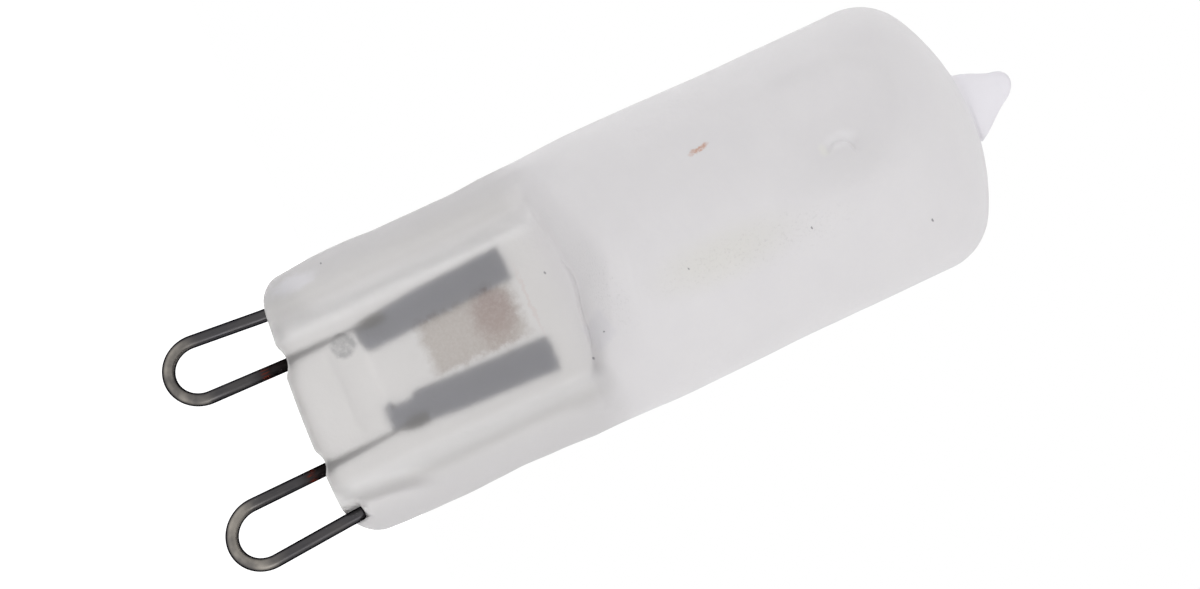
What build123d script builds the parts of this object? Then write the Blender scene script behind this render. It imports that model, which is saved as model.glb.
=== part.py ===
from build123d import *
from math import cos, radians, sin, sqrt, tan
import os

# Halogen bulb with looped wire contacts. Sizes are in millimetres and angles in degrees.
# Z runs from the contacts to the rounded end, X across the flat seal and Y through it.
# The origin is the middle of the seal's end, where a lamp holder stops the glass.

# Frosted capsule, made from quartz tube
capsule_diameter = 14.6
capsule_length = 22.22
dome_depth = 4.22
dome_corner_radius = 3.2

# The tube swelled a little where the shoulder was pressed
swell_diameter = 14.86
swell_length = 7.0

# Melted-off stub of the pumping tube, on the rounded end
tip_base_diameter = 3.9
tip_end_diameter = 1.5
tip_length = 2.64
tip_offset = 0.14
tip_lean = 10.5
tip_middle_diameter = 2.66
tip_middle_height = 1.05
tip_root = 0.8

# Dent pressed into the front of the capsule, turned a little toward the left side
dent_height = 31.0
dent_depth = 1.0
dent_tool_radius = 6.6
dent_edge_radius = 2.2
dent_turn = 10.0

# Flat seal, pressed while the tube was soft: it narrows a little at its end and its waist
seal_length = 15.4
seal_thickness = 5.0
seal_width = 14.7
seal_end_narrowing = 0.6
seal_full_height = 5.2
seal_waist_narrowing = 0.2
seal_waist_height = 9.4
seal_shoulder_widening = 0.1

# Shoulder, where the seal opens out into the round tube
shoulder_start = 13.2
shoulder_length = 5.4
shoulder_steps = 4
round_side_angle = 40.0

# End of the seal: a little out of square and bulged, with a hollow at each wire
end_slant = 2.8
end_bulge = 0.44
end_corner_radius = 1.5
end_hollow_radius = 1.0
end_hollow_depth = 0.2

# Thin web between the two thick sides, with a low band that a joint in the jaw left
web_thickness = 3.2
web_width = 10.3
web_wall_run = 1.2
web_end_run = 1.5
web_end_lean = 4.0
band_height = 3.4
band_width = 1.6
band_rise = 0.14

# Contact loops of round wire, each held by its inner leg
wire_diameter = 0.7
loop_pitch = 9.0
loop_shift = 0.15
leg_spacing = 3.35
leg_toe_in = 3.5
loop_turn = 15.0
left_loop_reach = 6.05
right_loop_reach = 6.4
left_free_end = 2.0
right_free_end = 0.8
groove_clearance = 0.06

# The inner leg is drawn down to a thin lead in the glass, beside the wire's middle
leg_seat = 0.25
lead_diameter = 0.34
lead_offset = 0.16

# Sealing foils, one welded to the flattened end of each lead
foil_width = 1.85
foil_length = 9.0
foil_thickness = 0.03
foil_start = 3.85
foil_offset = 2.5
foil_lean = 2.6
foil_corner_radius = 0.25
weld_width = 0.62
weld_thickness = 0.16
weld_length = 1.4
weld_overlap = 1.95
weld_flat_margin = 0.2

# How far a cutting shape passes the face that it cuts
cut_margin = 2.0
fine_cut_margin = 0.06

# Worked out from the sizes above
capsule_radius = capsule_diameter / 2
swell_radius = swell_diameter / 2
half_thickness = seal_thickness / 2
seal_waist_width = seal_width - seal_waist_narrowing
seal_shoulder_width = seal_width + seal_shoulder_widening
capsule_start = shoulder_start + shoulder_length
glass_top = seal_length + capsule_length
dome_start = glass_top - dome_depth
dent_distance = capsule_radius - dent_depth + dent_tool_radius

# The dome is two arcs: a tight one from the tube, and a wide crown that meets it smoothly
corner_centre = capsule_radius - dome_corner_radius
crown_rise = dome_depth**2 + corner_centre**2 - dome_corner_radius**2
crown_radius = crown_rise / (2 * (dome_depth - dome_corner_radius))
crown_share = crown_radius / (crown_radius - dome_corner_radius)
crown_edge = (
    corner_centre * crown_share,
    glass_top - crown_radius + (crown_radius - dome_depth) * crown_share,
)
wire_radius = wire_diameter / 2
lead_radius = lead_diameter / 2
bend_radius = leg_spacing / 2
inner_leg_offset = (loop_pitch - leg_spacing * cos(radians(loop_turn))) / 2
weld_end = foil_start + weld_overlap
foil_face = weld_thickness / 2


def seal_section(height, half_width, flat_edge, half_depth, crown):
    """A cross-section: two flat or crowned faces, joined by round sides."""
    with BuildSketch(Plane.XY.offset(height)) as section:
        with BuildLine():
            for side in (1, -1):
                corner = (side * flat_edge, side * half_depth)
                far_corner = (-side * flat_edge, side * half_depth)
                near_corner = (side * flat_edge, -side * half_depth)
                ThreePointArc(near_corner, (side * half_width, 0), corner)
                if crown > 0:
                    ThreePointArc(corner, (0, side * (half_depth + crown)), far_corner)
                else:
                    Line(corner, far_corner)
        make_face()
    return section.sketch


def flat_section(height, width):
    """A section of the pressed seal, as thick as the jaws left it."""
    return seal_section(height, width / 2, width / 2 - half_thickness, half_thickness, 0)


def shoulder_section(share):
    """A section of the shoulder: share 0 is the flat seal, and share 1 the round tube."""
    blend = share * share * (3 - 2 * share)
    flat_half_width = seal_shoulder_width / 2
    flat_edge = flat_half_width - half_thickness
    round_edge = swell_radius * cos(radians(round_side_angle))
    round_depth = swell_radius * sin(radians(round_side_angle))
    return seal_section(
        shoulder_start + share * shoulder_length,
        flat_half_width + blend * (swell_radius - flat_half_width),
        flat_edge + blend * (round_edge - flat_edge),
        half_thickness + blend * (round_depth - half_thickness),
        blend * (swell_radius - round_depth),
    )


def leg_place(side):
    """Where a contact loop's inner leg stands across the seal."""
    return loop_shift + side * inner_leg_offset


def end_height(across):
    """How high the seal's end lies at a place across it: the middle is at the origin."""
    return end_bulge * (across / (seal_width / 2)) ** 2 - across * tan(radians(end_slant))


def loop_plane(side):
    """The plane of a contact loop: its origin is on the inner leg, and its X runs outward."""
    turn = radians(loop_turn)
    return Plane(
        origin=(leg_place(side), 0, 0),
        x_dir=(side * cos(turn), -side * sin(turn), 0),
        z_dir=(-side * sin(turn), -side * cos(turn), 0),
    )


def bend_drop(reach):
    """How far below the origin the centre of a loop's bend lies."""
    return reach - wire_radius - bend_radius


def outer_leg_plane(side, reach):
    """The plane square to a loop's outer leg, where the bend ends and the leg starts."""
    toe = radians(leg_toe_in)
    plane = loop_plane(side)
    bend_end = (bend_radius * (1 + cos(toe)), bend_radius * sin(toe) - bend_drop(reach))
    return Plane(
        origin=plane.from_local_coords(Vector(*bend_end)),
        x_dir=(0, -side, 0),
        z_dir=plane.x_dir * -sin(toe) + plane.y_dir * cos(toe),
    )


def outer_leg_length(reach, free_end):
    """The straight length of the outer leg, from the bend to its cut end."""
    toe = radians(leg_toe_in)
    return (free_end + bend_drop(reach) - bend_radius * sin(toe)) / cos(toe)


def contact_loop(side, reach, free_end):
    """One contact: a lead and a leg down out of the seal, a bend, and a leg back to its side."""
    drop = bend_drop(reach)
    leg_top = end_height(leg_place(side)) + end_hollow_depth + leg_seat
    lead_place = leg_place(side) - lead_offset
    with BuildPart() as loop:
        with BuildLine(loop_plane(side)) as route:
            Line((0, leg_top), (0, -drop))
            CenterArc((bend_radius, -drop), bend_radius, 180, 180 + leg_toe_in)
        with BuildSketch(Plane(origin=(leg_place(side), 0, leg_top), z_dir=(0, 0, -1))):
            Circle(wire_radius)
        sweep(path=route.line)
        with BuildSketch(outer_leg_plane(side, reach)):
            Circle(wire_radius)
        extrude(amount=outer_leg_length(reach, free_end))
        # The lead, from inside the leg to the weld
        with BuildSketch(Plane.XY.offset(leg_top - leg_seat)):
            with Locations((lead_place, 0)):
                Circle(lead_radius)
        extrude(amount=weld_end - weld_length + weld_flat_margin - leg_top + leg_seat)
        # It is flat where the foil lies on it, and its end is hammered flat for the weld
        with BuildSketch(Plane.XZ.offset(-foil_face)):
            with Locations((lead_place, weld_end)):
                Rectangle(2 * lead_diameter, 2 * (weld_overlap + weld_flat_margin))
        extrude(amount=-lead_diameter, mode=Mode.SUBTRACT)
        with BuildSketch(Plane.XZ.offset(-foil_face)):
            with Locations((lead_place, weld_end - weld_length / 2)):
                RectangleRounded(weld_width, weld_length, weld_width / 3)
        extrude(amount=weld_thickness)
    return loop


def foil(side):
    """One sealing foil: a flat strip that leans a little, behind its wire's flattened end."""
    with BuildPart() as strip:
        with BuildSketch(Plane.XZ.offset(-foil_face)):
            middle = (side * foil_offset, foil_start + foil_length / 2)
            with Locations(Location(middle, -side * foil_lean)):
                RectangleRounded(foil_width, foil_length, foil_corner_radius)
        extrude(amount=-foil_thickness)
    return strip


# Wires and foils, the left ones at -X
loop_sizes = [(-1, left_loop_reach, left_free_end), (1, right_loop_reach, right_free_end)]
contact_loop_left, contact_loop_right = [contact_loop(*sizes) for sizes in loop_sizes]
foil_left, foil_right = [foil(side) for side in (-1, 1)]

# What the front jaw presses out between the thick sides, and the back jaw repeats
web_face = web_thickness / 2
wall_foot = (web_width - web_wall_run) / 2
wall_top = (web_width + web_wall_run) / 2
lip_depth = half_thickness + fine_cut_margin
band_radius = ((band_width / 2) ** 2 + band_rise**2) / (2 * band_rise)
with BuildPart() as web_pocket:
    with BuildSketch(Plane.XY.offset(-cut_margin)):
        with BuildLine():
            Line((-wall_foot, -web_face), (wall_foot, -web_face))
            for side in (1, -1):
                wall_middle = (side * web_width / 2, -(web_face + lip_depth) / 2)
                TangentArc((side * wall_foot, -web_face), wall_middle, tangent=(side, 0))
                TangentArc((side * wall_top, -lip_depth), wall_middle, tangent=(-side, 0))
                Line((side * wall_top, -lip_depth), (side * wall_top, -capsule_radius))
            Line((-wall_top, -capsule_radius), (wall_top, -capsule_radius))
        make_face()
    extrude(amount=cut_margin + seal_length + web_end_run + cut_margin)
    # The far end slopes up the shoulder from a crisp crease, which is a little out of square
    end_lean = radians(web_end_lean)
    end_plane = Plane(
        origin=(0, 0, seal_length), x_dir=(0, 1, 0), z_dir=(cos(end_lean), 0, -sin(end_lean))
    )
    with BuildSketch(end_plane):
        with BuildLine():
            Polyline(
                (-web_face, 0),
                (-capsule_radius, web_end_run),
                (-capsule_radius, web_end_run + 2 * cut_margin),
                (0, web_end_run + 2 * cut_margin),
                (0, 0),
                close=True,
            )
        make_face()
    extrude(amount=web_width, both=True, mode=Mode.SUBTRACT)
    # The band stays proud of the web
    with BuildSketch(Plane.YZ):
        with Locations((band_radius - web_face - band_rise, band_height)):
            Circle(band_radius)
    extrude(amount=web_width, both=True, mode=Mode.SUBTRACT)

# Everything past the seal's end
trim_reach = seal_width / 2 + cut_margin
left_corner, right_corner = [(x, end_height(x)) for x in (-trim_reach, trim_reach)]
with BuildPart() as end_trim:
    with BuildSketch(Plane.XZ):
        with BuildLine():
            ThreePointArc(left_corner, (0, 0), right_corner)
            Line(right_corner, (trim_reach, -seal_width))
            Line((trim_reach, -seal_width), (-trim_reach, -seal_width))
            Line((-trim_reach, -seal_width), left_corner)
        make_face()
    extrude(amount=seal_thickness, both=True)

with BuildPart() as glass_envelope:
    # Pressed seal, from its end to the foot of the shoulder
    cut_narrowing = seal_end_narrowing * (1 + cut_margin / seal_full_height)
    seal_sections = [
        flat_section(-cut_margin, seal_width - cut_narrowing),
        flat_section(seal_full_height, seal_width),
        flat_section(seal_waist_height, seal_waist_width),
        flat_section(shoulder_start, seal_shoulder_width),
    ]
    loft(sections=seal_sections, ruled=True)
    add(end_trim.part, mode=Mode.SUBTRACT)
    fillet(glass_envelope.faces().sort_by(Axis.Z)[0].edges(), end_corner_radius)

    # Shoulder
    shares = [step / shoulder_steps for step in range(shoulder_steps + 1)]
    loft(sections=[shoulder_section(share) for share in shares])

    # Capsule and its domed end
    with BuildSketch(Plane.XZ):
        with BuildLine():
            Line((0, capsule_start), (swell_radius, capsule_start))
            Line((swell_radius, capsule_start), (capsule_radius, capsule_start + swell_length))
            Line((capsule_radius, capsule_start + swell_length), (capsule_radius, dome_start))
            RadiusArc((capsule_radius, dome_start), crown_edge, -dome_corner_radius)
            RadiusArc(crown_edge, (0, glass_top), -crown_radius)
            Line((0, glass_top), (0, capsule_start))
        make_face()
    revolve(axis=Axis.Z)

    # Tip, which leans a little
    lean = radians(tip_lean)
    tip_plane = Plane(
        origin=(tip_offset, 0, glass_top), x_dir=(cos(lean), 0, sin(lean)), z_dir=(0, -1, 0)
    )
    base_radius = tip_base_diameter / 2
    end_radius = tip_end_diameter / 2
    flank_start = sqrt(crown_radius**2 - base_radius**2) - crown_radius
    ball_height = tip_length - end_radius
    with BuildSketch(tip_plane):
        with BuildLine():
            Line((0, -tip_root), (base_radius, -tip_root))
            Line((base_radius, -tip_root), (base_radius, flank_start))
            Polyline(
                (base_radius, flank_start),
                (tip_middle_diameter / 2, tip_middle_height),
                (end_radius, ball_height),
            )
            CenterArc((0, ball_height), end_radius, 0, 90)
            Line((0, tip_length), (0, -tip_root))
        make_face()
    revolve(axis=Axis(tip_plane.origin, tip_plane.y_dir))

    # Dent in the front, with a soft edge
    dent_side = -dent_distance * sin(radians(dent_turn))
    dent_front = -dent_distance * cos(radians(dent_turn))
    with Locations((dent_side, dent_front, dent_height)):
        Sphere(dent_tool_radius, mode=Mode.SUBTRACT)
    dent_face = glass_envelope.faces().filter_by(GeomType.SPHERE).sort_by(Axis.Y)[0]
    fillet(dent_face.edges(), dent_edge_radius)

    # Thin web, front and back
    add(web_pocket.part, mode=Mode.SUBTRACT)
    add(web_pocket.part.mirror(Plane.XZ), mode=Mode.SUBTRACT)

    # Hollows at the inner legs, where the soft glass drew back from the cool wire
    with BuildSketch(Plane.XZ):
        for side in (1, -1):
            hollow_top = end_height(leg_place(side)) + end_hollow_depth
            with Locations((leg_place(side), hollow_top - end_hollow_radius)):
                Circle(end_hollow_radius)
    extrude(amount=seal_thickness, both=True, mode=Mode.SUBTRACT)

    # Grooves for the free ends of the wires: the right one in front, the left one behind
    for side, reach, free_end in loop_sizes:
        with BuildSketch(outer_leg_plane(side, reach)):
            Circle(wire_radius + groove_clearance)
            with Locations((half_thickness / 2, 0)):
                Rectangle(half_thickness, wire_diameter + 2 * groove_clearance)
        extrude(amount=outer_leg_length(reach, free_end) + groove_clearance, mode=Mode.SUBTRACT)

    # Room for the sealed wires and the foils, which the glass touches all round
    for sealed in (contact_loop_left, contact_loop_right, foil_left, foil_right):
        add(sealed.part, mode=Mode.SUBTRACT)

glass_envelope.part.label = "glass_envelope"
contact_loop_left.part.label = "contact_loop_left"
contact_loop_right.part.label = "contact_loop_right"
foil_left.part.label = "foil_left"
foil_right.part.label = "foil_right"

os.makedirs("parts", exist_ok=True)
export_step(glass_envelope.part, "parts/glass_envelope.step")
export_step(contact_loop_left.part, "parts/contact_loop_left.step")
export_step(contact_loop_right.part, "parts/contact_loop_right.step")
export_step(foil_left.part, "parts/foil_left.step")
export_step(foil_right.part, "parts/foil_right.step")
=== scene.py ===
# %% [markdown]
# # A frosted halogen bulb
# The bulb is a quartz tube with a domed end, pressed flat at its other end, round two thin
# foils. Two looped wires stick out of the pressed end and carry the current.
# The CAD model gives the place and size of each piece. This lesson makes the same pieces with
# the detail that the eye expects: soft pressed glass, tarnished wire, crinkled foil.
# First the CAD model is loaded.

# %% Load the frame
import math
import bmesh
import bpy
from mathutils import Matrix, Vector, noise


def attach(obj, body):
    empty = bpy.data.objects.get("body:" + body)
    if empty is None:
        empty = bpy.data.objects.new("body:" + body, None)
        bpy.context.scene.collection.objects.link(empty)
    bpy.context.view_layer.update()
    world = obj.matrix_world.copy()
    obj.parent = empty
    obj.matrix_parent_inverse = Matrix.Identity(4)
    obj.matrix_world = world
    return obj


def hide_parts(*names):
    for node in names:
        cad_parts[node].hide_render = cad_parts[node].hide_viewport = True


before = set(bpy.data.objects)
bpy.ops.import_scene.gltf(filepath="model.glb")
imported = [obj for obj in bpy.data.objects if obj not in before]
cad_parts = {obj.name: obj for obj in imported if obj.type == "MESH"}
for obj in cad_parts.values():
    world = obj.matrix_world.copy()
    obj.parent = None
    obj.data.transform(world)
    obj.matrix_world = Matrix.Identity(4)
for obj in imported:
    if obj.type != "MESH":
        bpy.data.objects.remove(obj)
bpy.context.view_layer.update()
print("CAD nodes:", sorted(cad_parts))

# %% [markdown]
# Sizes are written in millimetres, because that is how bulbs are drawn. Blender works in metres
# here, so each finished mesh is scaled once by MM.
# Colours are written as sRGB hex values, as in any paint program, and turned to linear light.

# %% Units, colours and curves
MM = 0.001


def linear(hex_colour):
    """A sRGB hex value as the linear colour that a shader takes."""
    parts = [int(hex_colour[i:i + 2], 16) / 255 for i in (1, 3, 5)]
    return tuple(c / 12.92 if c <= 0.04045 else ((c + 0.055) / 1.055) ** 2.4 for c in parts) + (1,)


def ease(value, low, high):
    """Rises smoothly from 0 at low to 1 at high."""
    share = min(1.0, max(0.0, (value - low) / (high - low)))
    return share * share * (3 - 2 * share)


def soft_least(a, b, blend):
    """The smaller of two values, with a rounded change from one to the other."""
    share = max(blend - abs(a - b), 0) / blend
    return min(a, b) - share * share * blend / 4


def hump(distance, width):
    """A soft hump: 1 at no distance, and about a third at one width."""
    return math.exp(-(distance / width) ** 2)


def through(points, x):
    """A cubic curve through a few points, such as the half-widths along the seal."""
    total = 0.0
    for i, (xi, yi) in enumerate(points):
        term = yi
        for j, (xj, _) in enumerate(points):
            if j != i:
                term *= (x - xj) / (xi - xj)
        total += term
    return total


def on_line(points, x):
    """A soft line through points, level between equal ones and past both ends."""
    for (x0, y0), (x1, y1) in zip(points, points[1:]):
        if x <= x1:
            return y0 + (y1 - y0) * ease(x, x0, x1)
    return points[-1][1]


print("grey in linear light:", [round(c, 3) for c in linear("#808080")])

# %% [markdown]
# The glass is one piece: tube, dome, tip and pressed seal. It could be sculpted, or cut out of a
# block, but a glass blower turns a tube and then presses it, and the mesh follows that: one ring
# of points is extruded along the bulb, station by station, and shaped as it goes.
# A section is two faces and two round sides. In the seal the faces are flat; in the tube all four
# are arcs of one circle.

# %% Sections of the glass
HALF_THICKNESS = 2.5
CAPSULE_RADIUS, SWELL_RADIUS = 7.3, 7.43
# Heights above the seal's end, which is the end with the wires
SHOULDER_START, SHOULDER_END, SWELL_END = 13.2, 18.6, 27.0
DOME_START, GLASS_TOP = 33.4, 37.62
# In the tube, the part of each quarter that comes from the seal's round side
ROUND_SIDE = math.radians(40)
# The seal's half-width at a few heights
SEAL_HALF_WIDTHS = [(0, 7.05), (5.2, 7.34), (9.4, 7.24), (SHOULDER_START, 7.38)]
FACE_STEPS, SIDE_STEPS = 80, 52
RING = 2 * (FACE_STEPS + SIDE_STEPS)


def tube_radius(z):
    """The tube swelled a little where the shoulder was pressed."""
    return SWELL_RADIUS + (CAPSULE_RADIUS - SWELL_RADIUS) * ease(z, SHOULDER_END, SWELL_END)


def section(z, inset=0.0):
    """Half-width, edge of the flat, half-depth and crown of the glass at a height."""
    blend = ease(z, SHOULDER_START, SHOULDER_END)
    radius = tube_radius(z)
    flat_half_width = through(SEAL_HALF_WIDTHS, min(z, SHOULDER_START))
    round_depth = radius * math.sin(ROUND_SIDE)
    flat_edge = flat_half_width - HALF_THICKNESS
    return (
        flat_half_width + blend * (radius - flat_half_width) - inset,
        flat_edge + blend * (radius * math.cos(ROUND_SIDE) - flat_edge),
        HALF_THICKNESS + blend * (round_depth - HALF_THICKNESS) - inset,
        blend * (radius - round_depth),
    )


def bow(sag, half_chord, share):
    """A point of a shallow or deep arc: share runs from -1 to 1 along it."""
    if sag < 1e-6:
        return share * half_chord, 0.0
    radius = (sag * sag + half_chord * half_chord) / (2 * sag)
    half_angle = math.atan2(half_chord, radius - sag)
    angle = share * half_angle
    return radius * math.sin(angle), radius * math.cos(angle) - radius + sag


def section_ring(z, inset=0.0):
    """The RING points of a section, from the front of the right side, anticlockwise."""
    half_width, flat_edge, half_depth, crown = section(z, inset)
    half_depth = max(half_depth, 1e-4)
    ring = []
    for side in (1, -1):
        for step in range(SIDE_STEPS):
            y, x = bow(half_width - flat_edge, half_depth, 2 * step / SIDE_STEPS - 1)
            ring.append((side * (flat_edge + x), side * y))
        for step in range(FACE_STEPS):
            x, y = bow(crown, flat_edge, 1 - 2 * step / FACE_STEPS)
            ring.append((side * x, side * (half_depth + y)))
    return ring


print("points in a ring:", RING, "seal section:", [round(v, 2) for v in section(6)])

# %% [markdown]
# The seal's end isn't flat: it is a little out of square, bulges in the middle, and the glass
# drew back in a hollow round each wire. So the lowest rings aren't level. Each follows the end's
# outline, and the rings above it settle to level within a few millimetres.

# %% Outline of the seal's end
END_MIDDLE, END_BULGE, END_SLANT = -0.1, 0.41, math.radians(3.1)
END_CORNER = 1.3
# The end is level at its left, and its right corner is rounder
LEFT_LEVEL, RIGHT_RISE, RIGHT_CORNER = 0.38, 0.3, (5.4, 7.4)
# Where each wire goes into the glass, by side: -1 is left and 1 is right
LEGS = {-1: -2.732, 1: 3.032}
# Each hollow's middle, radius and depth
HOLLOWS = [(-2.95, 1.2, 0.3), (2.9, 1.0, 0.25)]
LEVEL_ABOVE = 4.0


def end_curve(x):
    """The end without its hollows: bulged in the middle, lower on the right, level at the left."""
    height = END_MIDDLE + END_BULGE * (x / CAPSULE_RADIUS) ** 2 - x * math.tan(END_SLANT)
    return soft_least(height, LEFT_LEVEL, 0.15) + RIGHT_RISE * ease(x, *RIGHT_CORNER)


def end_height(x):
    """How high the seal's end lies at a distance from the middle."""
    height = end_curve(x)
    for middle, radius, depth in HOLLOWS:
        across = radius ** 2 - (x - middle) ** 2
        if across > 0:
            hollow = end_curve(middle) + depth - radius + math.sqrt(across)
            height = -soft_least(-height, -hollow, 0.15)
    return height


def station_height(level, x):
    """The height of a ring's point: the lowest rings follow the end, the others are level."""
    return level + end_height(x) * (1 - ease(level, 0, LEVEL_ABOVE))


print("end at left, middle, right:", [round(end_height(x), 2) for x in (-7, 0, 7)])

# %% [markdown]
# Rings stand close together where the form changes fast: at the end's rounded corner, at the
# shoulder and in the dome. The tube between them needs fewer.

# %% Stations along the glass
def spread(start, end, spacing):
    """Even stations from start up to, but not at, end."""
    count = round((end - start) / spacing)
    return [start + (end - start) * i / count for i in range(count)]


CAP_RINGS, CORNER_RINGS = 9, 9
SPACINGS = [(END_CORNER, SHOULDER_START, 0.15), (SHOULDER_START, 14.5, 0.12), (14.5, 17.4, 0.07),
            (17.4, SHOULDER_END, 0.12), (SHOULDER_END, 26.0, 0.25), (26.0, DOME_START, 0.14)]
end_stations = [(0.0, END_CORNER + (HALF_THICKNESS - END_CORNER) * (1 - i / CAP_RINGS))
                for i in range(CAP_RINGS)]
for i in range(CORNER_RINGS):
    angle = math.pi / 2 * i / CORNER_RINGS
    end_stations.append((END_CORNER * (1 - math.cos(angle)), END_CORNER * (1 - math.sin(angle))))
levels = [level for spacing in SPACINGS for level in spread(*spacing)]
print("stations:", len(end_stations), "+", len(levels))

# %% [markdown]
# The tip is where the pumping tube was melted off: it narrows to a little neck, ends in a drop,
# and leans. Its rings carry on from the dome's, so there is no joint in the mesh, only the
# visible crease where the two meet.

# %% Profile of the dome and the tip
CORNER_RADIUS, CORNER_X = 3.2, 4.1
CROWN_RADIUS, CROWN_EDGE = 11.95, 5.6
TIP_LENGTH, TIP_ROOT = 2.64, 0.16
TIP_SHIFT, TIP_LEAN = 0.14, math.radians(10.5)
CORNER_DOME_RINGS, CROWN_RINGS, NECK_RINGS, DROP_RINGS = 22, 14, 26, 18
# The neck's height above the crown and its radius; the drop's oval starts at the same slope
NECK = [(-TIP_ROOT, 1.95), (0.58, 1.65), (1.38, 1.13), (1.95, 0.84)]
DROP_START = math.radians(24.5)


def dome_profile():
    """Radius and height of each ring of the dome and the tip."""
    corner_angle = math.acos((CROWN_EDGE - CORNER_X) / CORNER_RADIUS)
    crown_height = GLASS_TOP - CROWN_RADIUS
    rings = []
    for i in range(CORNER_DOME_RINGS):
        angle = corner_angle * i / CORNER_DOME_RINGS
        rings.append((CORNER_X + CORNER_RADIUS * math.cos(angle),
                      DOME_START + CORNER_RADIUS * math.sin(angle)))
    for i in range(CROWN_RINGS):
        radius = CROWN_EDGE + (NECK[0][1] - CROWN_EDGE) * i / CROWN_RINGS
        rings.append((radius, crown_height + math.sqrt(CROWN_RADIUS ** 2 - radius ** 2)))
    for i in range(NECK_RINGS):
        up = NECK[0][0] + (NECK[-1][0] - NECK[0][0]) * i / NECK_RINGS
        rings.append((through(NECK, up), GLASS_TOP + up))
    drop_width = NECK[-1][1] / math.cos(DROP_START)
    drop = (TIP_LENGTH - NECK[-1][0]) / (1 - math.sin(DROP_START))
    for i in range(DROP_RINGS):
        angle = DROP_START + (math.pi / 2 - DROP_START) * i / DROP_RINGS
        rings.append((drop_width * math.cos(angle),
                      GLASS_TOP + TIP_LENGTH - drop * (1 - math.sin(angle))))
    return rings


print("rings in dome and tip:", len(dome_profile()))

# %% [markdown]
# What the jaws pressed: a thin web between the thick sides, on both faces, with a low band that
# a joint in the jaw left, and a steep end where the shoulder begins. The jaw's edge scored a fine
# line into the hot glass there, deepest right of the middle. Each is a distance from the seal's
# middle plane, and the glass is as thick as the smaller of that and its own section.

# %% Pressed web and band
WEB_FACE = 1.6
# The wall's foot and top by side, the glass's half-thickness at its top, and its slope past it
WALLS, WALL_LIP, WALL_PAST = {-1: (3.6, 6.3), 1: (4.3, 6.5)}, 2.56, 3.0
# Where the web ends at places across it: the crease wanders and isn't quite square
CREASE = [(-5.7, 15.6), (-4.2, 15.2), (-2.0, 15.45), (-0.3, 15.6), (2.0, 15.2), (4.4, 14.75)]
CREASE_SOFT, CORNER_SOFT, CORNER_SPAN = 0.1, 0.6, (3.8, 5.2)
WEB_END_SLOPE = (CAPSULE_RADIUS - WEB_FACE) / 1.75
SCORE_DEPTH, SCORE_WIDTH, SCORE_BEFORE = 0.22, 0.11, 0.02
BAND_LOW, BAND_HIGH, BAND_EDGE, BAND_RISE = 2.6, 4.2, 0.25, 0.14
BAND_FADE = (1.3, 2.8)


def pressed_depth(x, z):
    """How thick the jaws let the glass be at a place on the face."""
    foot, top = WALLS[1 if x > 0 else -1]
    share = (abs(x) - foot) / (top - foot)
    band = (ease(z, BAND_LOW - BAND_EDGE, BAND_LOW + BAND_EDGE)
            - ease(z, BAND_HIGH - BAND_EDGE, BAND_HIGH + BAND_EDGE))
    past = z - on_line(CREASE, x)
    softness = CREASE_SOFT + CORNER_SOFT * ease(abs(x), *CORNER_SPAN)
    scored = ease(x, -2.2, -0.4) * (1 - ease(x, 2.4, 4.2))
    return (WEB_FACE + BAND_RISE * band * (1 - ease(abs(x), *BAND_FADE))
            - soft_least(0.0, -past, softness) * WEB_END_SLOPE
            - SCORE_DEPTH * scored * hump(past + SCORE_BEFORE, SCORE_WIDTH)
            + (WALL_LIP - WEB_FACE) * ease(share, 0, 1) + max(0.0, share - 1) * WALL_PAST)


print("web, wall, side:", [round(pressed_depth(x, 8), 2) for x in (0, 5.4, 7.0)])

# %% [markdown]
# The dent in the front is a soft dish with a small punched ring near its middle, left by the pin
# that held the glass. The dish is pushed into the rings as they are placed. The punched ring is a
# fine groove, so the faces round it are divided again before it is pushed in.

# %% Dent
DENT_X, DENT_HEIGHT, DENT_DEPTH = -1.1, 30.3, 1.3
DENT_HALF_WIDTH, DENT_HALF_LENGTH = 3.7, 4.1
# 2 would be an oval, and more is squarer
DENT_SQUARE = 2.6


def dent(x, z):
    """How far the front of the capsule is pushed in: a dish with a soft rim."""
    across, along = (x - DENT_X) / DENT_HALF_WIDTH, (z - DENT_HEIGHT) / DENT_HALF_LENGTH
    far = (abs(across) ** DENT_SQUARE + abs(along) ** DENT_SQUARE) ** (1 / DENT_SQUARE)
    return DENT_DEPTH * (1 - ease(far, 0.1, 1.0))


PUNCH_X, PUNCH_Z, PUNCH_RADIUS, PUNCH_DEPTH = 0.4, 30.3, 0.7, 0.17
PUNCH_INSIDE, PUNCH_OUTSIDE = 0.09, 0.3


def punch(x, z):
    """The punched ring: a fine groove, steep on its inner side, open to the right."""
    far = math.hypot(x - PUNCH_X, z - PUNCH_Z) - PUNCH_RADIUS
    turn = abs(math.atan2(z - PUNCH_Z, PUNCH_X - x) - 0.45)
    groove = hump(far, PUNCH_INSIDE if far < 0 else PUNCH_OUTSIDE)
    return PUNCH_DEPTH * groove * (1 - ease(turn, 1.0, 1.7))


print("dent at its middle and edge:", round(dent(DENT_X, DENT_HEIGHT), 2),
      round(dent(DENT_X + 3, DENT_HEIGHT), 2))

# %% [markdown]
# Each wire's free end lies in a groove of a thick side: the right one in front and the left one
# behind. Past the right wire's end a ridge of glass runs on, with a valley on its inner side,
# because the wire pushed the hot glass up.

# %% Grooves and ridge
WIRE_RADIUS = 0.35
LOOP_TURN, LOOP_SPACING = math.radians(15), 3.35
TOE_IN = math.radians(3.5)
BEND_RADIUS = LOOP_SPACING / 2
# Each loop's side, how far it reaches below the glass, and how high its free end stands
LOOPS = [("left", -1, 6.05, 2.0), ("right", 1, 6.4, 0.8)]


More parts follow.
